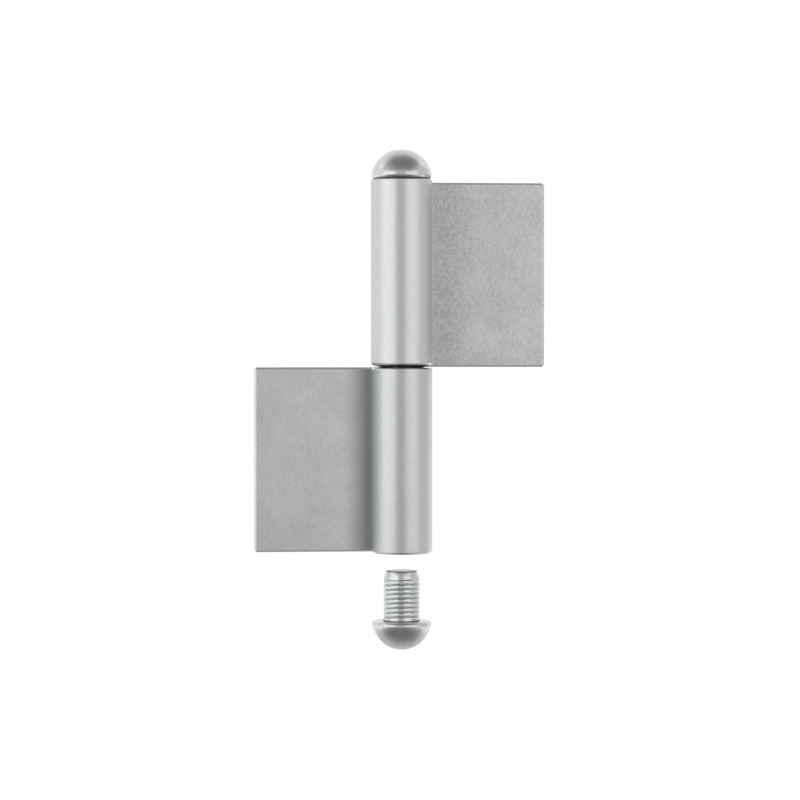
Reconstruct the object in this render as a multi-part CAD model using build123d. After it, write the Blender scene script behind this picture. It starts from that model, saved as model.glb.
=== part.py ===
from build123d import *

import os
from math import sqrt, tan, radians

# Weld-on flag hinge, millimetres.
# The origin is on the knuckle axis, halfway up the thrust washer.
# +Z is up along the knuckle axis. Both leaves are opened flat along X: the lower
# one towards -X, the upper one towards +X. +Y points at what they are welded to.

# Drawn leaf profile
knuckle_d = 20.0
leaf_reach = 47.7          # knuckle axis to the outer edge of a leaf
leaf_thickness = 4.0
leaf_height = 60.4
root_fillet = 1.0          # hollow between the leaf's front and its knuckle
edge_round = 0.8           # long outer corners of the drawn leaf
edge_break = 0.6           # deburred edges of the sawn ends

# Knuckle ends
facing_depth = 0.08        # the lower joint end is faced this far below its leaf's end
leaf_gap = 0.15            # height between the two leaves
knuckle_stand = 0.75       # the upper knuckle stands this far past the top of its leaf
rim_chamfer = 0.6          # outer rim of that top end
joint_round_width = 2.2    # the ends that meet the washer are rounded off this far inwards
upper_round_height = 1.08
lower_round_height = 0.3
spot_face_margin = 0.3     # the cutter that faces a joint end is this much wider

# Hinge pin
pin_d = 10.0
pin_chamfer = 0.9
pin_end_clearance = 0.55   # from the pin to the full thread of the lower tapped hole
push_clearance = 0.01      # pin in the lower knuckle, on the radius
running_clearance = 0.05   # pin in the upper knuckle, on the radius

# Thrust washer
washer_inset = 2.7         # its edge lies this far inside the knuckle's
washer_thickness = 0.3
washer_clearance = 0.08    # on the radius, round the pin
washer_edge = 0.05
washer_float = 0.05        # above the washer and below it

# Cap screws
thread_wall = 1.0          # a screw's thread is this much larger than the pin, on the radius
thread_clearance = 0.05    # on the radius, screw in tapped hole
shank_length = 16.4
lead_inset = 1.0           # the tip is this much smaller than the thread, on the radius
lead_length = 3.4
lead_bulge = 0.12          # how far the rounded lead stands out from a straight cone
head_inset = 0.2           # the head's widest place lies this far inside the knuckle's side
head_height = 9.3
head_rim_height = 1.2      # widest place of the head, above its seat
head_rim_taper = 0.4       # the seat is this much smaller, on the radius
socket_across_flats = 4.0
socket_depth = 5.0
socket_land = 0.14         # flat left outside the corners of the socket
socket_drill_angle = 118.0
seat_clearance = 0.05      # under a seated head
cap_stand_off = 5.7        # from a taken-out cap screw's tip to the mouth of its hole

# Tapped holes
thread_run_out = 1.7       # full thread past the tip of a seated cap screw
mouth_chamfer = 0.7
drill_angle = 118.0

# Sizes and places that follow from those above
knuckle_r = knuckle_d / 2
leaf_back_y = knuckle_r
leaf_front_y = leaf_back_y - leaf_thickness
joint_end = washer_thickness / 2 + washer_float
lower_end = joint_end + leaf_height - facing_depth
lower_leaf_top = leaf_height - lower_end
upper_leaf_bottom = lower_leaf_top + leaf_gap
upper_end = upper_leaf_bottom + leaf_height + knuckle_stand
pin_r = pin_d / 2
thread_r = pin_r + thread_wall
tapped_r = thread_r + thread_clearance
tapped_depth = shank_length + thread_run_out
pin_end = lower_end - tapped_depth - pin_end_clearance
cap_travel = shank_length + cap_stand_off


def revolved(points):
    """Turn a closed outline of (radius, height) points round the knuckle axis."""
    outline = Polyline(*[(r, 0, z) for r, z in points], close=True)
    return revolve(make_face(outline), Axis.Z)


def leaf_profile():
    """Section of the drawn bar: a round knuckle with a leaf tangent to its back.

    The leaf points to -X. A fillet fills the corner between its front and the knuckle.
    """
    fillet_y = leaf_front_y - root_fillet
    fillet_x = -sqrt((knuckle_r + root_fillet) ** 2 - fillet_y ** 2)
    centre = Vector(fillet_x, fillet_y)
    on_knuckle = centre * (knuckle_r / (knuckle_r + root_fillet))
    on_leaf = centre + Vector(0, root_fillet)
    halfway = ((on_knuckle - centre) + (on_leaf - centre)).normalized() * root_fillet

    back = Line((-leaf_reach + edge_round, leaf_back_y), (0, leaf_back_y))
    barrel = ThreePointArc((0, leaf_back_y), (0, -knuckle_r), on_knuckle)
    root = ThreePointArc(on_knuckle, centre + halfway, on_leaf)
    front = Line(on_leaf, (-leaf_reach + edge_round, leaf_front_y))
    low_corner = CenterArc((-leaf_reach + edge_round, leaf_front_y + edge_round),
                           edge_round, 180, 90)
    edge = Line((-leaf_reach, leaf_front_y + edge_round),
                (-leaf_reach, leaf_back_y - edge_round))
    high_corner = CenterArc((-leaf_reach + edge_round, leaf_back_y - edge_round),
                            edge_round, 90, 90)
    return make_face([back, barrel, root, front, low_corner, edge, high_corner])


def sawn_bar(bottom):
    """A length of the profile cut to the leaf's height, its end edges deburred."""
    bar = Pos(0, 0, bottom) * extrude(leaf_profile(), leaf_height)
    ends = bar.faces().filter_by(Axis.Z)
    return chamfer(ends.edges(), edge_break)


def faced_joint_end(round_height):
    """What is cut off a knuckle's joint end: the facing, and the round at its edge.

    The round is an arc that leaves the end face without a corner.
    """
    below = joint_end - leaf_height
    flat_r = knuckle_r - joint_round_width
    spot_face_r = knuckle_r + spot_face_margin
    top = joint_end + round_height
    lines = [
        Line((0, 0, below), (spot_face_r, 0, below)),
        Line((spot_face_r, 0, below), (spot_face_r, 0, top)),
        Line((spot_face_r, 0, top), (knuckle_r, 0, top)),
        TangentArc((flat_r, 0, joint_end), (knuckle_r, 0, top), tangent=(1, 0, 0)),
        Line((flat_r, 0, joint_end), (0, 0, joint_end)),
        Line((0, 0, joint_end), (0, 0, below)),
    ]
    return revolve(make_face(lines), Axis.Z)


def knuckle_bore(pin_hole_r, outer_end):
    """A knuckle's hole: reamed for the pin, tapped from its outer end."""
    mouth = outer_end + mouth_chamfer
    tapped_end = outer_end - tapped_depth
    drill_end = tapped_end - (tapped_r - pin_hole_r) / tan(radians(drill_angle / 2))
    return revolved([(0, -joint_end), (pin_hole_r, -joint_end), (pin_hole_r, drill_end),
                     (tapped_r, tapped_end), (tapped_r, outer_end - mouth_chamfer),
                     (tapped_r + 2 * mouth_chamfer, mouth), (0, mouth)])


def proud_rim():
    """The upper knuckle's top end, which stands past its leaf and is chamfered."""
    foot = upper_leaf_bottom + leaf_height - 2 * edge_break
    rim = Pos(0, 0, foot) * Cylinder(
        knuckle_r, upper_end - foot, align=(Align.CENTER, Align.CENTER, Align.MIN))
    return chamfer(rim.faces().sort_by(Axis.Z)[-1].edges(), rim_chamfer)


def machined(bar, pin_hole_r, outer_end, round_height):
    """Face a bar's joint end and bore its knuckle. The bar stands as the upper half does."""
    return bar - faced_joint_end(round_height) - knuckle_bore(pin_hole_r, outer_end)


def upper_leaf():
    """Carried on the pin, free to turn; its leaf points to +X."""
    bar = sawn_bar(upper_leaf_bottom) + proud_rim()
    half = machined(bar, pin_r + running_clearance, upper_end, upper_round_height)
    return half.mirror(Plane.YZ)


def lower_leaf():
    """Holds the pin; its leaf points to -X and ends level with the knuckle's foot.

    It is worked out standing on its head, like the upper half, and then turned over.
    """
    bar = sawn_bar(-lower_leaf_top)
    half = machined(bar, pin_r + push_clearance, lower_end, lower_round_height)
    return half.mirror(Plane.XY)


def hinge_pin():
    """A plain hardened pin, pushed into the lower knuckle and chamfered at both ends."""
    pin = Cylinder(pin_r, 2 * pin_end)
    return chamfer(pin.edges().filter_by(GeomType.CIRCLE), pin_chamfer)


def thrust_washer():
    """Carries the upper half's weight on the lower knuckle."""
    disc = Cylinder(knuckle_r - washer_inset, washer_thickness)
    ring = disc - Cylinder(pin_r + washer_clearance, washer_thickness)
    return chamfer(ring.edges().filter_by(GeomType.CIRCLE), washer_edge)


def bulged_line(start, end, bulge):
    """An arc between two (radius, height) points that stands out from its chord."""
    first, last = Vector(start[0], 0, start[1]), Vector(end[0], 0, end[1])
    outward = Vector(last.Z - first.Z, 0, first.X - last.X).normalized()
    return ThreePointArc(first, (first + last) / 2 + outward * bulge, last)


def ball_line(rim, crown):
    """An arc between two (radius, height) points of a ball centred on the axis."""
    centre_z = (crown[0] ** 2 - rim[0] ** 2 + crown[1] ** 2 - rim[1] ** 2) / (
        2 * (crown[1] - rim[1]))
    centre = Vector(0, 0, centre_z)
    first, last = Vector(rim[0], 0, rim[1]), Vector(crown[0], 0, crown[1])
    halfway = ((first - centre) + (last - centre)).normalized() * (first - centre).length
    return ThreePointArc(first, centre + halfway, last)


def cap_screw():
    """A domed screw, head up, with its seat at Z = 0. The shank is its thread's envelope."""
    head_r = knuckle_r - head_inset
    seat_r = head_r - head_rim_taper
    tip_r = thread_r - lead_inset
    land_r = socket_across_flats / sqrt(3) + socket_land
    tip_z = -shank_length
    lead_z = tip_z + lead_length
    lines = [
        Line((0, 0, tip_z), (tip_r, 0, tip_z)),
        bulged_line((tip_r, tip_z), (thread_r, lead_z), lead_bulge),
        Line((thread_r, 0, lead_z), (thread_r, 0, 0)),
        Line((thread_r, 0, 0), (seat_r, 0, 0)),
        Line((seat_r, 0, 0), (head_r, 0, head_rim_height)),
        ball_line((head_r, head_rim_height), (land_r, head_height)),
        Line((land_r, 0, head_height), (0, 0, head_height)),
        Line((0, 0, head_height), (0, 0, tip_z)),
    ]
    screw = revolve(make_face(lines), Axis.Z)
    return screw - hex_socket()


def hex_socket():
    """Hexagonal recess down from the crown, with a drilled point and a broken mouth."""
    floor = head_height - socket_depth
    flats_r = socket_across_flats / 2
    corner_r = socket_across_flats / sqrt(3)
    recess = Pos(0, 0, floor) * extrude(RegularPolygon(corner_r, 6), socket_depth)
    point = flats_r / tan(radians(socket_drill_angle / 2))
    drilled = revolved([(0, floor - point), (flats_r, floor), (0, floor)])
    mouth = revolved([(0, head_height), (0, head_height - (corner_r - flats_r)),
                      (flats_r, head_height - (corner_r - flats_r)),
                      (corner_r, head_height)])
    return recess + drilled + mouth


def upper_cap_screw():
    """Seated on the upper knuckle."""
    return Pos(0, 0, upper_end + seat_clearance) * cap_screw()


def lower_cap_screw():
    """Taken out of the lower knuckle and standing clear below it, head down."""
    seated = Pos(0, 0, lower_end + seat_clearance) * cap_screw()
    return (Pos(0, 0, cap_travel) * seated).mirror(Plane.XY)


def main():
    os.makedirs("parts", exist_ok=True)
    nodes = {
        "lower_leaf": lower_leaf(),
        "upper_leaf": upper_leaf(),
        "hinge_pin": hinge_pin(),
        "thrust_washer": thrust_washer(),
        "upper_cap_screw": upper_cap_screw(),
        "lower_cap_screw": lower_cap_screw(),
    }
    for name, shape in nodes.items():
        export_step(shape, f"parts/{name}.step")


main()
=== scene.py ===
# %% [markdown]
# Weld-on hinge
#
# Two leaves are cut from one drawn steel bar whose section is a round knuckle with a
# flat leaf running off its back. They turn on a hidden pin, with a black thrust washer
# between the knuckles. A domed socket screw closes each end. The upper one is home, and
# the lower one has been taken out and stands below its hole with its thread showing.
#
# The leaves, the pin and the washer keep their shapes and get a finish. The screws and
# the threads in the holes are made here, because a thread is too fine for the solids.

# %% Bring in the frame
from functools import partial
from math import atan2, cos, hypot, pi, radians, sin, sqrt, tan

import bmesh
import bpy
import numpy as np
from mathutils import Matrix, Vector


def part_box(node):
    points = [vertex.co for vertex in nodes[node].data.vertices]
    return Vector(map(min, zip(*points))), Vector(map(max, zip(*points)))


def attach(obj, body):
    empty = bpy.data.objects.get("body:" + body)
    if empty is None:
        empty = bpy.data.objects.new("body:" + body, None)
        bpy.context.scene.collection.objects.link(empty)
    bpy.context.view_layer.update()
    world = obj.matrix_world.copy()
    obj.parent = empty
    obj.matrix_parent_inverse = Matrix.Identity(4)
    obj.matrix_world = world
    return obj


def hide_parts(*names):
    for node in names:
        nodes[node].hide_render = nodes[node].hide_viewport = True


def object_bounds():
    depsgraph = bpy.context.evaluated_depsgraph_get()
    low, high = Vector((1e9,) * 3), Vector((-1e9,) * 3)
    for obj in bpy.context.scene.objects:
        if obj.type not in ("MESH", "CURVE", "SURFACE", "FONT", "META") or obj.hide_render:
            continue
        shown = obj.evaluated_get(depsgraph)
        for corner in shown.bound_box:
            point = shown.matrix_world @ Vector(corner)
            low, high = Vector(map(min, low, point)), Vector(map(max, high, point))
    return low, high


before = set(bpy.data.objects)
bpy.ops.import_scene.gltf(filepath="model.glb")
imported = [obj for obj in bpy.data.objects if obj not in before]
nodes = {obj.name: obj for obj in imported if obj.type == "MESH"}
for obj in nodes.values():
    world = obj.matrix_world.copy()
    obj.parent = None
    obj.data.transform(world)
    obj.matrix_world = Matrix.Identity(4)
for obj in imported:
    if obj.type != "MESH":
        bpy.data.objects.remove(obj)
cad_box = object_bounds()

MM = 0.001
print("frame nodes", sorted(nodes))
print("size in mm", [round((high - low) / MM, 1) for low, high in zip(*cad_box)])

# %% [markdown]
# The camera comes first, because everything is seen through it. The photograph was
# taken from about 0.9 m with a long lens, from a little to the left of the hinge, nearly
# level with the joint between the knuckles. A long lens keeps the two knuckles nearly
# the same width. The camera is turned down by one degree instead of being shifted.

# %% Camera
PHOTO_PIXELS = 800
PIXELS_PER_MM = 3.07             # on the knuckle axis
CAMERA_DISTANCE = 0.900
CAMERA_TURN = radians(-5.1)      # to the left of straight on
CAMERA_HEIGHT = 5.3 * MM
AXIS_PIXEL_X = 401.6             # where the knuckle axis lies in the photograph
JOINT_PIXEL_Y = 367.1            # where the height 0 lies in the photograph
SENSOR_WIDTH = 36.0

frame_centre = Vector((
    (PHOTO_PIXELS / 2 - AXIS_PIXEL_X) / PIXELS_PER_MM * MM,
    0,
    (JOINT_PIXEL_Y - PHOTO_PIXELS / 2) / PIXELS_PER_MM * MM,
))
camera_place = Vector((
    sin(CAMERA_TURN) * CAMERA_DISTANCE,
    -cos(CAMERA_TURN) * CAMERA_DISTANCE,
    CAMERA_HEIGHT,
))
focal_pixels = PIXELS_PER_MM / MM * CAMERA_DISTANCE
camera_data = bpy.data.cameras.new("camera")
camera_data.sensor_width = SENSOR_WIDTH
camera_data.lens = focal_pixels / PHOTO_PIXELS * SENSOR_WIDTH
camera = bpy.data.objects.new("camera", camera_data)
camera.location = camera_place
camera.rotation_mode = "QUATERNION"
camera.rotation_quaternion = (frame_centre - camera_place).to_track_quat("-Z", "Y")
bpy.context.scene.collection.objects.link(camera)
bpy.context.scene.camera = camera
bpy.context.scene.view_settings.view_transform = "Standard"
print("lens", round(camera_data.lens, 1), "mm")

# %% [markdown]
# Small helpers carry every material. Colours are written as sRGB hex values, the way a
# paint chart gives them, and Blender works in linear light, so one function converts
# them. Another adds a node, sets it and wires it in one call. What it wires may be a
# number, a colour, a socket, or a whole node, which then sends its first output.

# %% Colour and node helpers
BLEND = {"data_type": "RGBA"}    # a Mix node of colours: inputs 6 and 7, output 2
EASED = {"interpolation_type": "SMOOTHSTEP"}
NOISE_MIDDLE = {"From Min": 0.3, "From Max": 0.7}       # most of a noise lies in here


def linear(hex_colour):
    """An sRGB hex colour as linear RGBA: each channel through the sRGB curve."""
    channels = [int(hex_colour[i:i + 2], 16) / 255 for i in (1, 3, 5)]
    curve = [c / 12.92 if c <= 0.04045 else ((c + 0.055) / 1.055) ** 2.4 for c in channels]
    return (*curve, 1.0)


def add_node(tree, kind, inputs=None, **settings):
    """Add a node: settings go on the node, inputs are values, sockets or other nodes."""
    made = tree.nodes.new("ShaderNode" + kind)
    for name, value in settings.items():
        setattr(made, name, value)
    for key, value in (inputs or {}).items():
        if isinstance(value, bpy.types.Node):
            value = value.outputs[0]
        if isinstance(value, bpy.types.NodeSocket):
            tree.links.new(value, made.inputs[key])
        else:
            made.inputs[key].default_value = value
    return made


def new_material(name):
    """An empty node material, and the call that adds a node to it."""
    material = bpy.data.materials.new(name)
    material.use_nodes = True
    material.node_tree.nodes.clear()
    return material, partial(add_node, material.node_tree)


def per_mm(size):
    """The noise scale whose features are about this many millimetres wide."""
    return 1 / (size * MM)


def rise(start, end):
    """Map Range values that lead from 0 at start to 1 at end, both in millimetres."""
    return {"From Min": start * MM, "From Max": end * MM}


def fall(start, end):
    """Map Range values that lead from 1 at start to 0 at end, both in millimetres."""
    return {**rise(start, end), "To Min": 1.0, "To Max": 0.0}


print("half of full sRGB is", round(linear("#808080")[0], 3), "of the light")

# %% [markdown]
# The studio is a pale room. Polished and blasted steel have no colour pattern of their
# own: what the eye reads as steel is the room in them, bright soft boxes to the left and
# right, a dark gap between them where the camera stands, and a dim ceiling.
#
# The world and the floor come first. They are white to the camera and in reflections,
# and light the hinge at a plain level. More light would wash the steel out, so the white
# comes from what each kind of ray is shown, and the floor still takes a shadow.

# %% World and floor
WORLD_LEVEL = 0.75               # what the room sends to matt surfaces
FLOOR_DROP = 0.45                # the hinge hangs this far above the floor
FLOOR_HALF_WIDTH = 6.0
FLOOR_LIFT = 0.50                # added for the camera so that the lit floor is white


def seen_directly(add):
    """1 for camera, glossy and transmission rays, 0 for the light on matt surfaces."""
    path = add("LightPath")
    seen = path.outputs["Is Camera Ray"]
    for ray in ("Is Glossy Ray", "Is Transmission Ray"):
        seen = add("Math", {0: seen, 1: path.outputs[ray]}, operation="MAXIMUM")
    return seen


def white_world():
    """A white world that lights matt surfaces a little less than it shows."""
    world = bpy.data.worlds.new("studio")
    world.use_nodes = True
    world.node_tree.nodes.clear()
    add = partial(add_node, world.node_tree)
    level = add("MapRange", {"Value": seen_directly(add), "To Min": WORLD_LEVEL, "To Max": 1.0})
    white = add("Background", {"Color": linear("#FFFFFF"), "Strength": level})
    add("OutputWorld", {"Surface": white})
    return world


def flat_card(name, corners):
    """A flat four-cornered mesh from its corners, in order."""
    mesh = bpy.data.meshes.new(name)
    mesh.from_pydata([tuple(c) for c in corners], [], [(0, 1, 2, 3)])
    card = bpy.data.objects.new(name, mesh)
    bpy.context.scene.collection.objects.link(card)
    return card


def level_corners(half_width, front, back, height):
    """The corners of a level rectangle, seen from above in turn."""
    return [(-half_width, front, height), (half_width, front, height),
            (half_width, back, height), (-half_width, back, height)]


def floor_paint():
    """Matt pale paint that the camera sees lifted to white, shadow kept.

    From below the floor is clear, so that the hinge can be looked at from there.
    """
    material, add = new_material("pale_floor_paint")
    matt = add("BsdfDiffuse", {"Color": linear("#F2F2F0")})
    lift = add("Math", {0: seen_directly(add), 1: FLOOR_LIFT}, operation="MULTIPLY")
    lit = add("AddShader", {0: matt, 1: add("Emission", {"Strength": lift})})
    below = add("NewGeometry").outputs["Backfacing"]
    both = add("MixShader", {0: below, 1: lit, 2: add("BsdfTransparent")})
    add("OutputMaterial", {"Surface": both})
    return material


bpy.context.scene.world = white_world()
floor_z = cad_box[0].z - FLOOR_DROP
floor = flat_card("floor", level_corners(FLOOR_HALF_WIDTH, -FLOOR_HALF_WIDTH,
                                         FLOOR_HALF_WIDTH, floor_z))
floor.data.materials.append(floor_paint())
print("floor at", round(floor_z / MM, 1), "mm")

# %% [markdown]
# The soft boxes are real area lamps, and plain grey cards outside the picture stand for
# the darker walls. Only reflections see the cards. Both are placed by the directions
# between which they stand, because that is how they show on a round knuckle: a bright
# stripe for each box, and a darker one between them.

# %% Soft boxes
SOFT_BOX_DISTANCE = 1.3
SOFT_BOX_LOW, SOFT_BOX_HIGH = -0.34, 0.82


def towards(turn_deg, distance, height=0.0):
    """A place round the hinge: 0 degrees is straight in front, + is to the right."""
    turn = radians(turn_deg)
    return Vector((sin(turn) * distance, -cos(turn) * distance, height))


def soft_box(name, first_deg, last_deg, distance, low, high, radiance):
    """A lamp that fills the room between two directions, upright and facing the hinge.

    A flat panel at its distance spans the angle when its width is twice the distance
    times the tangent of half the angle. Its power is radiance times area times pi.
    """
    half = radians((last_deg - first_deg) / 2)
    data = bpy.data.lights.new(name, "AREA")
    data.shape = "RECTANGLE"
    data.size = 2 * distance * tan(half)
    data.size_y = high - low
    data.energy = radiance * data.size * data.size_y * pi
    lamp = bpy.data.objects.new(name, data)
    away = towards((first_deg + last_deg) / 2, distance)
    lamp.location = away + Vector((0, 0, (low + high) / 2))
    lamp.rotation_mode = "QUATERNION"
    lamp.rotation_quaternion = (-away).to_track_quat("-Z", "Y")
    lamp.visible_camera = False
    bpy.context.scene.collection.objects.link(lamp)
    print(name, round(data.size, 2), "m wide,", round(data.energy, 1), "W")


# %% [markdown]
# Rays pass through an area lamp, so the bright room behind it would add to its stripe. A
# black card of the same outline as seen from the hinge stands behind each box, and a
# grey wall farther out shows above and below it. The gap where the camera stands is
# grey, with a darker stand in its middle.
#
# A polished dome shows the whole room at once. Its dark patch is the ceiling over the
# hinge, or the table under it, and the patch fades towards the rim, so these two cards
# are dimmest near the hinge and grow lighter farther out.

# %% Grey cards
CARD_DISTANCE = 1.7
INNER_CARD_DISTANCE = 1.6
OUTER_CARD_DISTANCE = 1.8
BACK_SCALE = CARD_DISTANCE / SOFT_BOX_DISTANCE
SIDE_WALL_LEVEL = 0.38
TABLE_HEIGHT = floor_z + 5 * MM


def grey_card(name, corners, level, rises=()):
    """A card of grey that only reflections see; it lights nothing by itself.

    Its grey is level, plus an eased rise for each (axis, start, end, amount) in metres.
    """
    card = flat_card(name, corners)
    material, add = new_material(name + "_grey")
    place = add("SeparateXYZ", {0: add("TexCoord").outputs["Object"]})
    grey = level
    for axis, start, end, amount in rises:
        more = add("MapRange", {"Value": place.outputs[axis], "From Min": start,
                   "From Max": end, "To Min": 0.0, "To Max": amount}, **EASED)
        grey = add("Math", {0: grey, 1: more}, operation="ADD")
    add("OutputMaterial", {"Surface": add("Emission", {"Strength": grey})})
    material.cycles.emission_sampling = "NONE"
    card.data.materials.append(material)
    card.visible_camera = card.visible_diffuse = card.visible_transmission = False
    card.visible_shadow = False
    print(name, "card,", level, "of white")


def wall_card(name, first_deg, last_deg, level, distance=CARD_DISTANCE, low=-1.5, high=1.5):
    """An upright card between two directions."""
    corners = [towards(first_deg, distance, low), towards(last_deg, distance, low),
               towards(last_deg, distance, high), towards(first_deg, distance, high)]
    grey_card(name, corners, level)


for side, first_deg, last_deg, radiance in (("left", -84, -28, 1.38), ("right", 11, 58, 1.19)):
    soft_box(side + "_soft_box", first_deg, last_deg, SOFT_BOX_DISTANCE,
             SOFT_BOX_LOW, SOFT_BOX_HIGH, radiance)
    wall_card(side + "_soft_box_back", first_deg, last_deg, 0.0, CARD_DISTANCE,
              SOFT_BOX_LOW * BACK_SCALE, SOFT_BOX_HIGH * BACK_SCALE)
    wall_card(side + "_wall", first_deg, last_deg, SIDE_WALL_LEVEL, OUTER_CARD_DISTANCE)

wall_card("camera_gap", -30, 13, level=0.62)
wall_card("camera_stand", -15, -3, level=0.26, distance=INNER_CARD_DISTANCE)
wall_card("far_right_wall", 58, 115, level=0.75)

ceiling = level_corners(half_width=1.9, front=-2.1, back=1.0, height=1.1)
grey_card("ceiling", ceiling, level=0.26, rises=(
    ("Y", -0.22, 0.7, 0.66),
    ("Y", -1.1, -2.1, 0.25),
    ("X", 0.65, 1.7, 0.5),
    ("X", -0.4, -1.6, 0.5),
))
table = level_corners(half_width=1.0, front=-1.7, back=0.8, height=TABLE_HEIGHT)
grey_card("under_table", table, level=0.22, rises=(
    ("Y", -0.25, 0.35, 0.48),
    ("Y", -0.35, -1.6, 0.12),
    ("X", 0.25, 1.0, 0.35),
    ("X", -0.4, -1.0, 0.15),
))

# %% [markdown]
# The leaves are steel drawn through a die and then blasted with fine grit, which leaves
# a satin, slightly mottled grey. A metal's look is its tint, its roughness and the small
# slopes of its surface. Four layers of noise make them here: grit dimples, a speckle of
# greys, soft clouds where the blasting was stronger, and faint lines along the bar from
# the drawing die. Noise on Object coordinates has no seam round the knuckle, as an image
# wrapped on it would have, and stays on the metal when a leaf turns.

# %% Steel grain
GRIT_WIDTH = 0.55                # real grit marks are 0.1 to 0.2 mm, coarser here to show
SPECKLE_WIDTH = 0.7
SPECKLE_STRETCH = (1, 1, 1.3)    # a little longer along the bar
CLOUD_WIDTH = 12.0
DIE_LINE_WIDTH = 0.9
DIE_LINE_STRETCH = (1, 1, 60)
KNUCKLE_SPECKLE = 0.15           # the knuckle is rounder and takes the grit evenly
KNUCKLE_CLOUDS, LEAF_CLOUDS = 0.04, 0.18


def grains(add, where, width, detail=2.0, stretch=(1, 1, 1)):
    """Noise with features this many millimetres wide, longer where stretch is above 1."""
    scale = tuple(per_mm(width) / s for s in stretch)
    moved = add("Mapping", {"Vector": where, "Scale": scale})
    return add("TexNoise", {"Vector": moved, "Scale": 1.0, "Detail": detail,
               "Roughness": 0.55}).outputs["Fac"]


def mottled_grey(add, where, on_leaf, hollow_shade, mottle):
    """Where each point lies between a finish's dark grey, 0, and its light grey, 1.

    One half, plus the speckle times its strength, plus the clouds times theirs. The
    leaf's speckle goes from mottle's first strength to its second where hollow shade is painted.
    """
    leaf_speckle = add("Mix", {0: hollow_shade, 2: mottle[0], 3: mottle[1]})
    strengths = (add("Mix", {0: on_leaf, 2: KNUCKLE_SPECKLE, 3: leaf_speckle}),
                 add("Mix", {0: on_leaf, 2: KNUCKLE_CLOUDS, 3: LEAF_CLOUDS}))
    patterns = (grains(add, where, SPECKLE_WIDTH, 4.0, SPECKLE_STRETCH),
                grains(add, where, CLOUD_WIDTH, 3.0))
    layers = []
    for pattern, strength in zip(patterns, strengths):
        evened = add("MapRange", {"Value": pattern, **NOISE_MIDDLE, "To Min": -1.0, "To Max": 1.0})
        layers.append(add("Math", {0: evened, 1: strength}, operation="MULTIPLY"))
    both = add("Math", {0: layers[0], 1: layers[1]}, operation="ADD")
    return add("Math", {0: both, 1: 0.5}, operation="ADD")


print("grit", GRIT_WIDTH, "speckle", SPECKLE_WIDTH, "clouds", CLOUD_WIDTH, "mm")

# %% [markdown]
# One bar carries several finishes and painted shades, so masks say where each lies, from
# 0 to 1. They are worked out from the place on the bar and from the way its surface
# faces. Their borders are eased, because blasting and shade fade out.
#
# Beside the knuckle the leaf gets painted shade: a darker grey in the hollow, where the
# knuckle shades it. The sawn and faced ends were cut, not blasted, and are brighter.
# Painted shade also darkens the joint and the seam under the seated screw.

# %% Where each finish lies
KNUCKLE_SIDE = (9.2, 10.4)       # along X, the knuckle turns into the leaf, in mm
KNUCKLE_BACK = (9.0, 9.95)       # along Y, it turns into the flat back
LEAF_FRONT = (6.3, 7.0)          # along Y, just behind the leaf's front face
CUT_FACING = (0.35, 0.6)         # how much of the normal lies along the bar
# the level of the painted shade at the joint and under the seated screw
SEAM_SHADE_LEVEL = 0.8


def leaf_mask(add, place):
    """1 on a leaf: the larger of a rise beside the knuckle and one at its flat back."""
    across = add("Math", {0: place.outputs["X"]}, operation="ABSOLUTE")
    beside = add("MapRange", {"Value": across, **rise(*KNUCKLE_SIDE)}, **EASED)
    behind = add("MapRange", {"Value": place.outputs["Y"], **rise(*KNUCKLE_BACK)}, **EASED)
    return add("Math", {0: beside, 1: behind}, operation="MAXIMUM")


def cut_mask(add, coordinates):
    """1 on the cut ends, where most of the normal lies along the bar."""
    facing = add("SeparateXYZ", {0: coordinates.outputs["Normal"]})
    along = add("Math", {0: facing.outputs["Z"]}, operation="ABSOLUTE")
    return add("MapRange", {"Value": along, "From Min": CUT_FACING[0],
               "From Max": CUT_FACING[1]}, **EASED)


def hollow_shade_mask(add, place, near, deep, far, out):
    """1 where shade is painted beside the knuckle, across X and only in front of the leaf.

    It rises from near to deep and falls again from far to out, all in millimetres.
    """
    grows = add("MapRange", {"Value": place.outputs["X"], **rise(near, deep)}, **EASED)
    fades = add("MapRange", {"Value": place.outputs["X"], **fall(far, out)}, **EASED)
    front = add("MapRange", {"Value": place.outputs["Y"], **fall(*LEAF_FRONT)}, **EASED)
    band = add("Math", {0: grows, 1: fades}, operation="MULTIPLY")
    return add("Math", {0: band, 1: front}, operation="MULTIPLY")


def seam_shade_mask(add, place, bands, on_leaf):
    """Painted shade at a knuckle's ends: none at a band's first height, most at its second.

    The bands are added up and multiplied by the shade's level less the leaf's mask.
    """
    darkening = 0.0
    for none, most in bands:
        band = add("MapRange", {"Value": place.outputs["Z"], **rise(none, most)}, **EASED)
        darkening = add("Math", {0: darkening, 1: band}, operation="ADD")
    level = add("Math", {0: SEAM_SHADE_LEVEL, 1: on_leaf}, operation="SUBTRACT")
    return add("Math", {0: darkening, 1: level}, operation="MULTIPLY")


print("the knuckle turns into its leaf", KNUCKLE_SIDE, "mm from the axis")

# %% [markdown]
# A facing tool leaves one ring for each step of its feed. A sine of the distance from
# the knuckle axis draws them on the ends of the knuckles, and on the washer, which was
# turned in the same way.

# %% Cutter rings
CUTTER_FEED = 0.3                # real feed marks are 0.1 mm apart, coarser here to show
RING_REACH = (10.4, 10.504)      # the rings end this far from the knuckle axis, in mm


def from_axis(add, place):
    """Distance from the knuckle axis: the root of x squared plus y squared."""
    squares = [add("Math", {0: place.outputs[axis], 1: place.outputs[axis]},
                   operation="MULTIPLY") for axis in "XY"]
    total = add("Math", {0: squares[0], 1: squares[1]}, operation="ADD")
    return add("Math", {0: total}, operation="SQRT")


def ring_marks(add, across):
    """The sine of the distance from the axis, one wave to each feed of the cutter."""
    wave = 2 * pi * per_mm(CUTTER_FEED)
    turns = add("Math", {0: across, 1: wave}, operation="MULTIPLY")
    return add("Math", {0: turns}, operation="SINE")


print("cutter rings", CUTTER_FEED, "mm apart")
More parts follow.
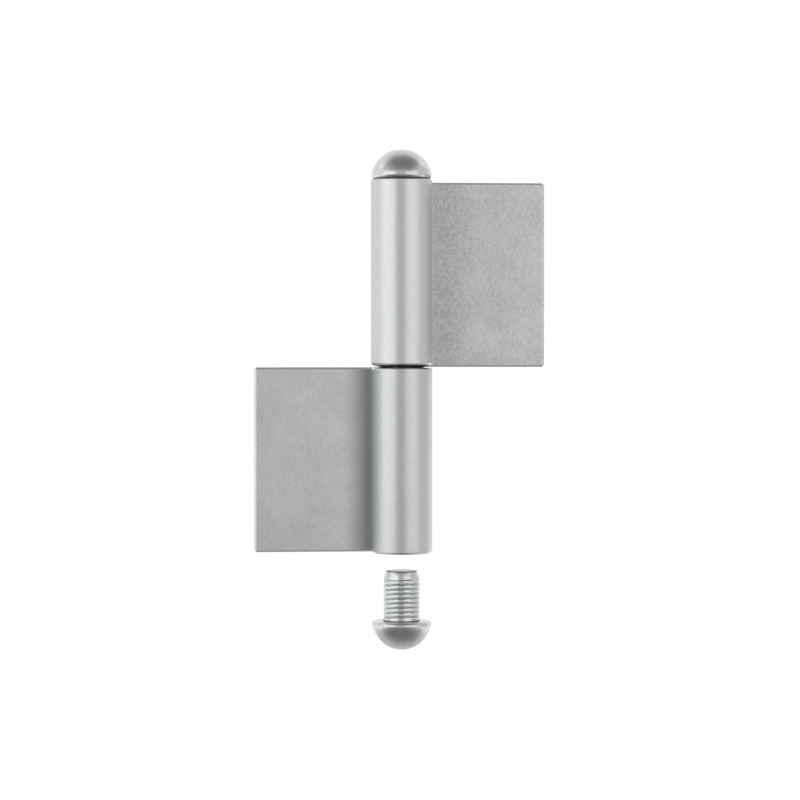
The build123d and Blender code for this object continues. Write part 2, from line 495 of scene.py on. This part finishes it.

# %% [markdown]
# Now the finish itself. Blasting leaves a metal rough enough to blur the room, so that
# each soft box is a wide soft stripe and the flat leaf is an even grey. The lower leaf
# is the smoother one, with the darker painted shade in its hollow. The upper leaf is more mottled.

# %% Blasted drawn steel
BLASTED_ROUGHNESS = (0.31, 0.37)
CUT_ROUGHNESS = 0.26
GRIT_DEPTH = 0.010               # of the dimples on a knuckle, in millimetres
MOTTLE_DEPTH = 0.02              # more on a leaf, times its mottle
DIE_LINE_DEPTH = 0.008
RING_DEPTH = 0.002
# Painted shade for the hollow beside the knuckle, cut metal, painted shade at the seams.
HOLLOW_SHADE_GREY, CUT_METAL, SEAM_SHADE_GREY = "#8E9190", "#D2D4D3", "#3A3B3B"


def steel_relief(add, where, grit, rings, on_leaf, mottle):
    """The shading normal, tilted by the grit, then by the die lines, then by the rings."""
    die_lines = grains(add, where, DIE_LINE_WIDTH, 2.0, DIE_LINE_STRETCH)
    leaf_depth = GRIT_DEPTH + MOTTLE_DEPTH * mottle[0]
    depth = add("Mix", {0: on_leaf, 2: GRIT_DEPTH * MM, 3: leaf_depth * MM})
    normal = add("Bump", {"Height": grit, "Strength": 1.0, "Distance": depth})
    for height, layer_depth in ((die_lines, DIE_LINE_DEPTH), (rings, RING_DEPTH)):
        normal = add("Bump", {"Height": height, "Strength": 1.0,
                     "Distance": layer_depth * MM, "Normal": normal})
    return normal


def blasted_steel(name, knuckle, leaf, mottle, hollow, hollow_shade_level, seam_shade_bands=()):
    """Drawn steel, grit blasted: satin, pale neutral grey, the leaf more or less mottled.

    knuckle and leaf are each a dark and a light grey. Painted shade in the hollow, cut
    metal and painted shade at the seams are laid over the mottle in turn, each by its mask.
    """
    material, add = new_material(name)
    coordinates = add("TexCoord")
    where = coordinates.outputs["Object"]
    place = add("SeparateXYZ", {0: where})
    on_leaf = leaf_mask(add, place)
    cut = cut_mask(add, coordinates)
    hollow_shade = hollow_shade_mask(add, place, *hollow)
    # The painted shade beside the knuckle, times how strong it is on this leaf.
    hollow_shade_amount = add("Math", {0: hollow_shade, 1: hollow_shade_level}, operation="MULTIPLY")
    darkening = seam_shade_mask(add, place, seam_shade_bands, on_leaf)

    dark, light = [add("Mix", {0: on_leaf, 6: linear(round_grey), 7: linear(flat_grey)},
                       **BLEND).outputs[2] for round_grey, flat_grey in zip(knuckle, leaf)]
    grey = mottled_grey(add, where, on_leaf, hollow_shade, mottle)
    colour = add("Mix", {0: grey, 6: dark, 7: light}, **BLEND).outputs[2]
    # In turn: painted shade in the hollow, the cut metal's grey, painted shade at the seams.
    for mask, shade in ((hollow_shade_amount, HOLLOW_SHADE_GREY), (cut, CUT_METAL), (darkening, SEAM_SHADE_GREY)):
        colour = add("Mix", {0: mask, 6: colour, 7: linear(shade)}, **BLEND).outputs[2]

    grit = grains(add, where, GRIT_WIDTH, 3.0)
    smoothest, roughest = BLASTED_ROUGHNESS
    blasted = add("MapRange", {"Value": grit, **NOISE_MIDDLE, "To Min": smoothest,
                  "To Max": roughest})
    rough = add("Mix", {0: cut, 2: blasted, 3: CUT_ROUGHNESS})
    across = from_axis(add, place)
    near_axis = add("MapRange", {"Value": across, **fall(*RING_REACH)}, **EASED)
    rings = add("Math", {0: ring_marks(add, across), 1: cut}, operation="MULTIPLY")
    rings = add("Math", {0: rings, 1: near_axis}, operation="MULTIPLY")
    steel = add("BsdfPrincipled", {"Base Color": colour, "Metallic": 1.0, "Roughness": rough,
                "Normal": steel_relief(add, where, grit, rings, on_leaf, mottle)})
    add("OutputMaterial", {"Surface": steel})
    return material


# Where the painted shade beside each knuckle rises and falls, in millimetres.
LOWER_HOLLOW_SHADE = (-19.0, -10.7, -10.6, -5.8)
UPPER_HOLLOW_SHADE = (9.8, 12.0, 14.0, 26.0)
UPPER_SEAM_SHADE = ((0.85, 0.45), (60.72, 60.95))     # painted shade at the joint and under the seated screw
nodes["lower_leaf"].material_slots[0].material = blasted_steel(
    "blasted_drawn_steel", knuckle=("#B6BAB8", "#D7D9D8"), leaf=("#BDC1BF", "#DEE0DF"),
    mottle=(0.21, 0.27), hollow=LOWER_HOLLOW_SHADE, hollow_shade_level=0.82)
nodes["upper_leaf"].material_slots[0].material = blasted_steel(
    "blasted_drawn_steel_mottled", knuckle=("#BBBFBD", "#DCDEDD"), leaf=("#B2B6B4", "#D3D5D4"),
    mottle=(0.36, 0.66), hollow=UPPER_HOLLOW_SHADE, hollow_shade_level=0.27, seam_shade_bands=UPPER_SEAM_SHADE)
print("blasted steel on lower_leaf and upper_leaf")

# %% [markdown]
# The pin is hardened steel ground between wheels, so its fine marks run round it. The
# thrust washer is black bearing plastic turned from rod, with a fine ring pattern. Both
# show only as a dark line in the joint until the door half is lifted off.

# %% Pin and washer
GRINDING_WIDTH, GRINDING_DEPTH = 0.12, 0.002     # in millimetres
GRINDING_STRETCH = (60, 60, 1)   # the marks are long round the pin and short along it
PLASTIC_SPECKLE_WIDTH = 0.4
TURNING_DEPTH = 0.004


def ground_steel():
    """Hardened steel, centreless ground: bright, with fine marks round the pin."""
    material, add = new_material("ground_hardened_steel")
    where = add("TexCoord").outputs["Object"]
    marks = grains(add, where, GRINDING_WIDTH, 2.0, GRINDING_STRETCH)
    worn = add("MapRange", {"Value": marks, **NOISE_MIDDLE})
    colour = add("Mix", {0: worn, 6: linear("#B9BCBF"), 7: linear("#C9CCCE")}, **BLEND)
    rough = add("MapRange", {"Value": marks, **NOISE_MIDDLE, "To Min": 0.14, "To Max": 0.24})
    relief = add("Bump", {"Height": marks, "Strength": 1.0, "Distance": GRINDING_DEPTH * MM})
    steel = add("BsdfPrincipled", {"Base Color": colour.outputs[2], "Metallic": 1.0,
                "Roughness": rough, "Normal": relief})
    add("OutputMaterial", {"Surface": steel})
    return material


def turned_plastic():
    """Black acetal, turned: satin black with fine rings round the hole."""
    material, add = new_material("black_acetal")
    where = add("TexCoord").outputs["Object"]
    place = add("SeparateXYZ", {0: where})
    rings = ring_marks(add, from_axis(add, place))
    speckle = grains(add, where, PLASTIC_SPECKLE_WIDTH)
    spots = add("MapRange", {"Value": speckle, **NOISE_MIDDLE})
    colour = add("Mix", {0: spots, 6: linear("#101112"), 7: linear("#191A1B")}, **BLEND)
    rough = add("MapRange", {"Value": speckle, **NOISE_MIDDLE, "To Min": 0.34, "To Max": 0.46})
    relief = add("Bump", {"Height": rings, "Strength": 1.0, "Distance": TURNING_DEPTH * MM})
    plastic = add("BsdfPrincipled", {"Base Color": colour.outputs[2], "IOR": 1.48,
                  "Roughness": rough, "Normal": relief})
    add("OutputMaterial", {"Surface": plastic})
    return material


nodes["hinge_pin"].material_slots[0].material = ground_steel()
nodes["thrust_washer"].material_slots[0].material = turned_plastic()
print("ground steel on hinge_pin, black acetal on thrust_washer")

# %% [markdown]
# The cap screws are cold headed, rolled and zinc plated. A screw is a stack of rings:
# walk from the middle of its tip, up the shank, over the head, into the socket and down
# to its drilled floor. Each ring has a radius and a height, and most are round. Two
# kinds are not. A thread ring climbs by one pitch in a turn, so it ends where the ring
# one pitch above it starts, which is all that a helix is. A socket ring is a hexagon,
# whose radius at each angle is the flat's distance divided by the cosine of the angle
# from the flat's middle.
#
# A screw modifier would give a thread too, but its ends would have to be closed and
# joined to the head by hand. In one grid of rings everything is joined from the start.

# %% Rings
COLUMNS = 144                    # divisible by 6, so that the socket's corners are sharp
angles = np.linspace(0, 2 * pi, COLUMNS + 1)


def ring(radius, height, shade_and_oil=0.0):
    """One round or shaped ring: its radius and height at each angle, in millimetres.

    The third row says how much painted shade and oil darken it there, from 0 to 1.
    """
    return np.stack([np.broadcast_to(row, angles.shape) for row in (radius, height, shade_and_oil)])


def ball_rings(rim, crown, steps):
    """Rings over a ball centred on the axis, through two points (radius, height).

    Both points are as far from the centre, so its height is
    (crown_r^2 - rim_r^2 + crown_h^2 - rim_h^2) / 2 (crown_h - rim_h).
    """
    centre = (crown[0] ** 2 - rim[0] ** 2 + crown[1] ** 2 - rim[1] ** 2) / 2 / (crown[1] - rim[1])
    ball = hypot(rim[0], rim[1] - centre)
    tilts = np.linspace(atan2(rim[1] - centre, rim[0]), atan2(crown[1] - centre, crown[0]), steps)
    return [ring(ball * cos(t), centre + ball * sin(t)) for t in tilts]


print("rings of", COLUMNS, "points")

# %% [markdown]
# A stack of rings is a grid of points, so its faces are worked out for the whole grid at
# once: each joins two neighbours on one ring with the same two on the next. The grid's
# seam and its poles hold points that coincide. They are merged, and then the edges that
# two faces don't share are counted. A lining has none. A screw has 5, round a sliver
# beside its tip, because its first climbing ring ends its turn 0.36 mm above the tip.

# %% From rings to a mesh
MERGE_DISTANCE = 1e-7
SHARP_DEGREES = 38               # an edge that turns more than this is shaded sharp


def edge_use(mesh):
    """How many faces share each edge."""
    edges = np.zeros(len(mesh.loops), np.int64)
    mesh.loops.foreach_get("edge_index", edges)
    return np.bincount(edges, minlength=len(mesh.edges))


def merged_mesh(name, points, quads, shade_and_oil):
    """Put arrays into a mesh, merge points that coincide and shade it smooth."""
    mesh = bpy.data.meshes.new(name)
    mesh.from_pydata(points.tolist(), [], quads.tolist())
    mesh.attributes.new("shade_and_oil", "FLOAT", "POINT").data.foreach_set("value", shade_and_oil)
    work = bmesh.new()
    work.from_mesh(mesh)
    bmesh.ops.remove_doubles(work, verts=work.verts, dist=MERGE_DISTANCE)
    bmesh.ops.dissolve_degenerate(work, edges=work.edges, dist=MERGE_DISTANCE)
    bmesh.ops.recalc_face_normals(work, faces=work.faces)
    for edge in work.edges:
        edge.smooth = edge.calc_face_angle(0) < radians(SHARP_DEGREES)
    for face in work.faces:
        face.smooth = True
    work.to_mesh(mesh)
    work.free()
    piece = bpy.data.objects.new(name, mesh)
    bpy.context.scene.collection.objects.link(piece)
    open_edges = int(np.sum(edge_use(mesh) != 2))
    print(name, len(mesh.polygons), "faces,", open_edges, "open edges")
    return piece


def ring_stack(name, rings, turned_over=False):
    """A mesh from rings: neighbours are joined by quads, doubles are merged.

    A point is radius times cosine, radius times sine, height. The first and last rings
    have radius 0, or are the same, so no end is left open.
    """
    grid = np.array(rings)
    rows = len(grid)
    radius, height, shade_and_oil = grid[:, 0], grid[:, 1], grid[:, 2]
    points = np.stack([radius * np.cos(angles), radius * np.sin(angles), height], -1)
    if turned_over:
        points = points * (1, -1, -1)
    points = points.reshape(-1, 3) * MM
    row, column = np.meshgrid(np.arange(rows - 1), np.arange(COLUMNS), indexing="ij")
    first = (row * (COLUMNS + 1) + column).ravel()
    quads = np.stack([first, first + 1, first + COLUMNS + 2, first + COLUMNS + 1], -1)
    return merged_mesh(name, points, quads, shade_and_oil.ravel())


print("edges that turn more than", SHARP_DEGREES, "degrees are sharp")

# %% [markdown]
# A rolled thread is a groove pressed into the shank, with flanks 60 degrees apart and a
# crest that bulges a little between two grooves. To the eye the plated thread is
# shallower than the full 60 degree triangle, so the groove here is cut short. Rings
# stand close together on the flanks, where the shape bends, and far apart on the crest.

# %% Thread shape
PITCH = 1.5
THREAD_RADIUS = 6.0
THREAD_DEPTH = 0.45
GROOVE_HALF = 0.27               # half width of a groove at its top
ROOT_HALF = 0.05
CREST_FALL = 0.05                # crests are rolled slightly round


def groove_depth(turn):
    """Depth of the thread at a fraction of its pitch, with the groove's middle at 0.

    The flank falls straight from the groove's top to its root. Away from the groove the
    crest falls off by the square of the distance from its middle.
    """
    away = np.abs((turn + 0.5) % 1 - 0.5) * PITCH
    flank = np.clip((GROOVE_HALF - away) / (GROOVE_HALF - ROOT_HALF), 0, 1)
    crest_half = PITCH / 2 - GROOVE_HALF
    crest = CREST_FALL * np.clip((PITCH / 2 - away) / crest_half, 0, 1) ** 2
    return crest + (THREAD_DEPTH - CREST_FALL) * flank


def thread_steps(root_half, top_half):
    """Fractions of a pitch at which a thread needs a ring.

    They are close together from the root's edge to the groove's top, where the shape
    bends, and then lead over the crest to half a pitch. The other side is the same.
    """
    root, top = root_half / PITCH, top_half / PITCH
    half = [root, (root + top) / 2, top, top + 0.05, 0.30, 0.40, 0.5]
    return np.array([-h for h in half[:-1]][::-1] + half)


def thread_rings(low, high, phase, steps):
    """Climbing rings from low to high, with the thread's fraction of a pitch for each."""
    first = np.floor(low / PITCH) - 1
    last = np.ceil(high / PITCH) + 1
    turns = (np.arange(first, last)[:, None] + steps[None, :]).ravel()
    heights = turns[:, None] * PITCH + PITCH * angles[None, :] / (2 * pi)
    return turns, np.clip(heights + phase, low, high)


def smooth(value, start, end):
    """0 before start, 1 after end, with an eased rise between them."""
    t = np.clip((value - start) / (end - start), 0, 1)
    return t * t * (3 - 2 * t)


SCREW_STEPS = thread_steps(ROOT_HALF, GROOVE_HALF)
print("ring steps in a pitch", len(SCREW_STEPS))

# %% [markdown]
# The shank starts at a sheared tip, which is darkened. A rounded lead guides it into the
# hole, and the thread grows out of the lead and fades below the head. Painted shade lies
# in the neck under the head and, faintly with a little oil, in the grooves. Each ring
# carries how much it is darkened, so that the dark line follows the shape.

# %% Threaded shank
crown_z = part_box("upper_cap_screw")[1].z / MM
tip_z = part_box("upper_cap_screw")[0].z / MM
head_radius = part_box("upper_cap_screw")[1].x / MM
HEAD_HEIGHT = 9.3
TIP_INSET = 1.0                  # the tip is this much smaller than the thread
TIP_MARGIN = 0.05                # the flat tip has a ring this far inside its edge
LEAD_LENGTH = 3.4
LEAD_BULGE = 0.12
LEAD_THREAD = (0.5, 1.1)         # the grooves deepen over this part of the lead
RUN_OUT = (1.3, 0.39)            # and fade over this stretch below the head
FIRST_GROOVE = 3.58              # from the tip, at the front of the seated screw
FRONT_TURN = 0.75                # the front is three quarters of a turn round from +X
# a little oil and painted shade in the grooves
GROOVE_SHADE_AND_OIL = 0.15
TIP_DARKENING = 0.7                    # the sheared end is darkened
TIP_EDGE = 0.5                   # and so is its edge, over this length
NECK_SHADE = 0.45                  # painted shade reaches this far along the neck under the head

shank_length = crown_z - HEAD_HEIGHT - tip_z
thread_phase = (FIRST_GROOVE - shank_length - FRONT_TURN * PITCH) % PITCH


def lead_radius(above_tip):
    """The rounded lead: the tip's cone plus a parabola that is highest halfway."""
    t = np.clip(above_tip / LEAD_LENGTH, 0, 1)
    return THREAD_RADIUS - TIP_INSET * (1 - t) + LEAD_BULGE * 4 * t * (1 - t)


def shank_rings():
    """The threaded shank from its tip to the seat under the head, which is height 0.

    Its radius is the thread's radius less the groove, or the lead's where that is less.
    """
    turns, heights = thread_rings(-shank_length, 0, thread_phase, SCREW_STEPS)
    above_tip = heights + shank_length
    shown = smooth(above_tip, LEAD_THREAD[0] * LEAD_LENGTH, LEAD_THREAD[1] * LEAD_LENGTH)
    shown = shown * (1 - smooth(heights, -RUN_OUT[0], -RUN_OUT[1]))
    cut = groove_depth(turns)[:, None] * shown
    radius = np.minimum(THREAD_RADIUS - cut, lead_radius(above_tip))
    neck = smooth(heights, -NECK_SHADE, -0.5 * NECK_SHADE)
    tip_edge = 1 - smooth(above_tip, 0.4 * TIP_EDGE, TIP_EDGE)
    darkening = np.maximum(GROOVE_SHADE_AND_OIL * cut / THREAD_DEPTH, np.maximum(neck, tip_edge))
    return [ring(r, h, c) for r, h, c in zip(radius, heights, darkening)]


print("shank", round(shank_length, 1), "mm, head radius", round(head_radius, 2), "mm")

# %% [markdown]
# The head has a rounded seat edge, a short rim and a dome that is part of a ball. The
# dome is what catches the eye: any flat or kink on it would show in the room's
# reflection, so it is one formula with many rings. The socket is a hexagon with straight
# walls over a drilled point, as it is broached.

# %% Head and socket
HEAD_RIM_HEIGHT = 1.2
HEAD_RIM_TAPER = 0.4
SEAT_ROUND = 0.15
SEAT_ROUND_RINGS, RIM_RINGS, DOME_RINGS = 5, 8, 40
NECK_WIDTH = 0.7                 # painted shade round the neck fades out over this width
SEAT_SHADE_HEIGHT = 0.10                # painted shade reaches this far up the seated head's rim
SOCKET_FLATS = 4.0
SOCKET_CORNER = SOCKET_FLATS / sqrt(3)
SOCKET_DEPTH = 5.0
SOCKET_LAND = 0.14               # a flat ring round the socket's corners
DRILL_HALF_ANGLE = radians(59)


def head_rings(rim_shade):
    """From the seat up the rounded rim and over the dome to the socket's flat mouth.

    The rim falls short of the head's radius by the taper times the square of how far
    below its top it is, so it stands upright where the dome begins.
    """
    seat_radius = head_radius - HEAD_RIM_TAPER
    # Painted shade at the neck, and on the seated screw up the foot of its rim.
    rim = [ring(THREAD_RADIUS, 0, 1.0), ring(THREAD_RADIUS + NECK_WIDTH, 0, rim_shade)]
    for t in np.linspace(0, pi / 2, SEAT_ROUND_RINGS):
        rim.append(ring(seat_radius - SEAT_ROUND * (1 - sin(t)), SEAT_ROUND * (1 - cos(t)),
                        rim_shade))
    for t in np.linspace(0, 1, RIM_RINGS + 1)[1:]:
        height = SEAT_ROUND + (HEAD_RIM_HEIGHT - SEAT_ROUND) * t
        dark = rim_shade * (1 - smooth(height, 0.8 * SEAT_SHADE_HEIGHT, 1.2 * SEAT_SHADE_HEIGHT))
        below = (HEAD_RIM_HEIGHT - height) / (HEAD_RIM_HEIGHT - SEAT_ROUND)
        rim.append(ring(head_radius - HEAD_RIM_TAPER * below ** 2, height, dark))
    mouth = (SOCKET_CORNER + SOCKET_LAND, HEAD_HEIGHT)
    dome = ball_rings((head_radius, HEAD_RIM_HEIGHT), mouth, DOME_RINGS)
    return rim + dome + [ring(SOCKET_CORNER, HEAD_HEIGHT)]


def socket_rings():
    """The hexagonal socket: broken mouth, straight walls, floor and drilled point."""
    flats = SOCKET_FLATS / 2
    from_flat = (angles % (pi / 3)) - pi / 6
    hexagon = flats / np.cos(from_flat)
    floor_height = HEAD_HEIGHT - SOCKET_DEPTH
    point = flats / tan(DRILL_HALF_ANGLE)
    return [ring(hexagon, HEAD_HEIGHT - (SOCKET_CORNER - hexagon)), ring(hexagon, floor_height),
            ring(flats, floor_height), ring(0, floor_height - point)]


def cap_screw(name, seat_height, turned_over, body, rim_shade):
    """A whole screw on its body, in place of the plain solid of the same name."""
    tip = [ring(0, -shank_length, TIP_DARKENING),
           ring(THREAD_RADIUS - TIP_INSET - TIP_MARGIN, -shank_length, TIP_DARKENING)]
    rings = tip + shank_rings() + head_rings(rim_shade) + socket_rings()
    lifted = [ring(r, h + abs(seat_height), c) for r, h, c in rings]
    piece = ring_stack(name + "_threaded", lifted, turned_over)
    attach(piece, body)
    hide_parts(name)
    return piece


upper_seat = crown_z - HEAD_HEIGHT
lower_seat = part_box("lower_cap_screw")[0].z / MM + HEAD_HEIGHT
# Only the seated screw has painted shade on its rim, where it meets the knuckle.
upper_screw = cap_screw("upper_cap_screw", upper_seat, False, "upper_cap", 1.0)
lower_screw = cap_screw("lower_cap_screw", lower_seat, True, "lower_cap", 0.0)

# %% [markdown]
# Bright zinc is plated on in a barrel, where the screws tumble against each other. It
# mirrors the room, but softly: a low roughness with fine specks, and shallow waves that
# bend the reflections a little. The painted shade and oil that the rings carry darken it.

# %% Zinc plating
WAVE_WIDTH, WAVE_DEPTH = 1.6, 0.008      # in millimetres
SPECK_WIDTH, SPECK_DEPTH = 0.35, 0.002
SHADE_AND_OIL_COVER = 0.85                 # how much of the zinc full painted shade and oil hide


def zinc_plating():
    """Bright zinc on steel: smooth and neutral, slightly uneven where it was barrelled.

    Painted shade darkens the neck and the seat, the tip is darkened, and the grooves get a little
    oil and shade.
    """
    material, add = new_material("bright_zinc_plating")
    where = add("TexCoord").outputs["Object"]
    shade_and_oil = add("Attribute", attribute_name="shade_and_oil").outputs["Fac"]
    waves = grains(add, where, WAVE_WIDTH, 2.0)
    specks = grains(add, where, SPECK_WIDTH, 2.0)
    cloudy = add("MapRange", {"Value": waves, **NOISE_MIDDLE})
    zinc_tint = add("Mix", {0: cloudy, 6: linear("#C9CBCD"), 7: linear("#D2D4D5")}, **BLEND)
    darkening = add("Math", {0: shade_and_oil, 1: SHADE_AND_OIL_COVER}, operation="MULTIPLY")
    # The dark grey is painted shade, with a little oil in the grooves.
    colour = add("Mix", {0: darkening, 6: zinc_tint.outputs[2], 7: linear("#4A4B4C")}, **BLEND)
    rough = add("MapRange", {"Value": specks, **NOISE_MIDDLE, "To Min": 0.20, "To Max": 0.27})
    wavy = add("Bump", {"Height": waves, "Strength": 1.0, "Distance": WAVE_DEPTH * MM})
    relief = add("Bump", {"Height": specks, "Strength": 1.0, "Distance": SPECK_DEPTH * MM,
                 "Normal": wavy})
    zinc = add("BsdfPrincipled", {"Base Color": colour.outputs[2], "Metallic": 1.0,
               "Roughness": rough, "Normal": relief})
    add("OutputMaterial", {"Surface": zinc})
    return material


plating = zinc_plating()
for screw in (upper_screw, lower_screw):
    screw.data.materials.append(plating)
print(plating.name, "on", upper_screw.name, "and", lower_screw.name)

# %% [markdown]
# The holes that take the screws are tapped. Their thread is a thin lining inside each
# plain bore: the same climbing rings, turned inside out. A ridge of the hole stands where
# a seated screw has its groove, and it is narrower and shallower, so that both clear.

# %% Tapped linings
LINING_OUTER = 6.2               # hidden in the steel round the bore
LINING_WALL = 6.03               # just inside the bore's radius
RIDGE_HEIGHT = 0.38
RIDGE_HALF = 0.20
RIDGE_TOP_HALF = 0.02
SEAT_CLEARANCE = 0.05            # a seated head clears its knuckle by this
MOUTH_DEPTH = 0.75               # just below the mouth's chamfer
MOUTH_FADE = 0.6                 # the ridges grow over this length below it
TAPPED_DEPTH = 13.9              # the ridges end beside the seated screw's rounded lead
TAP_LEAD = (0.2, 1.4)            # the ridges fade over this stretch at the hole's end
# painted shade and oil between the ridges, at most
LINING_SHADE_AND_OIL = 0.5
LINING_STEPS = thread_steps(RIDGE_TOP_HALF, RIDGE_HALF)


def ridge_height(turn):
    """Height of the hole's ridge at a fraction of its pitch: straight flanks round 0."""
    away = np.abs((turn + 0.5) % 1 - 0.5) * PITCH
    return RIDGE_HEIGHT * np.clip((RIDGE_HALF - away) / (RIDGE_HALF - RIDGE_TOP_HALF), 0, 1)


def tapped_lining(name, mouth, turned_over, body):
    """A closed sleeve: up its plain outside, then down its ridged inside.

    The inside's radius is the wall's less the ridge, and its painted shade and oil grow with that
    radius.
    """
    low, high = mouth - TAPPED_DEPTH, mouth - MOUTH_DEPTH
    phase = (mouth + SEAT_CLEARANCE + thread_phase) % PITCH
    turns, heights = thread_rings(low, high, phase, LINING_STEPS)
    shown = smooth(heights, low + TAP_LEAD[0], low + TAP_LEAD[1])
    shown = shown * (1 - smooth(heights, high - MOUTH_FADE, high))
    inside = LINING_WALL - ridge_height(turns)[:, None] * shown
    darkening = LINING_SHADE_AND_OIL * (1 - (LINING_WALL - inside) / RIDGE_HEIGHT)
    inner = [ring(r, h, c) for r, h, c in zip(inside, heights, darkening)]
    rings = [ring(LINING_OUTER, low), ring(LINING_OUTER, high)] + inner[::-1]
    piece = ring_stack(name, rings + [rings[0]], turned_over)
    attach(piece, body)
    return piece


upper_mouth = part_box("upper_leaf")[1].z / MM
lower_mouth = -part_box("lower_leaf")[0].z / MM
linings = (tapped_lining("upper_tapped_lining", upper_mouth, False, "door_half"),
           tapped_lining("lower_tapped_lining", lower_mouth, True, "frame_half"))

# %% [markdown]
# A tap tears the steel a little as it cuts, and its marks run round the hole. The ridges
# stay bright, and painted shade with some cutting oil keeps the grooves between them
# dark, which is what lets the eye find a thread inside a hole.

# %% Tapped steel
TEAR_WIDTH, TEAR_DEPTH = 0.15, 0.003     # in millimetres
TEAR_STRETCH = (1, 1, 0.3)       # the marks are shorter along the hole than round it


def cut_steel(name):
    """Freshly cut steel with a film of oil: darker, with painted shade darkest between the ridges.
    """
    material, add = new_material(name)
    where = add("TexCoord").outputs["Object"]
    shade_and_oil = add("Attribute", attribute_name="shade_and_oil").outputs["Fac"]
    marks = grains(add, where, TEAR_WIDTH, 2.0, TEAR_STRETCH)
    torn = add("MapRange", {"Value": marks, **NOISE_MIDDLE})
    steel_tint = add("Mix", {0: torn, 6: linear("#A3A6A5"), 7: linear("#B6B9B8")}, **BLEND)
    # The near black is painted shade with cutting oil, between the ridges.
    colour = add("Mix", {0: shade_and_oil, 6: steel_tint.outputs[2], 7: linear("#3C3D3D")}, **BLEND)
    rough = add("MapRange", {"Value": marks, **NOISE_MIDDLE, "To Min": 0.24, "To Max": 0.34})
    relief = add("Bump", {"Height": marks, "Strength": 1.0, "Distance": TEAR_DEPTH * MM})
    steel = add("BsdfPrincipled", {"Base Color": colour.outputs[2], "Metallic": 1.0,
                "Roughness": rough, "Normal": relief})
    add("OutputMaterial", {"Surface": steel})
    return material


tapped_steel = cut_steel("tapped_steel")
for lining in linings:
    lining.data.materials.append(tapped_steel)
print(tapped_steel.name, "in", len(linings), "holes")
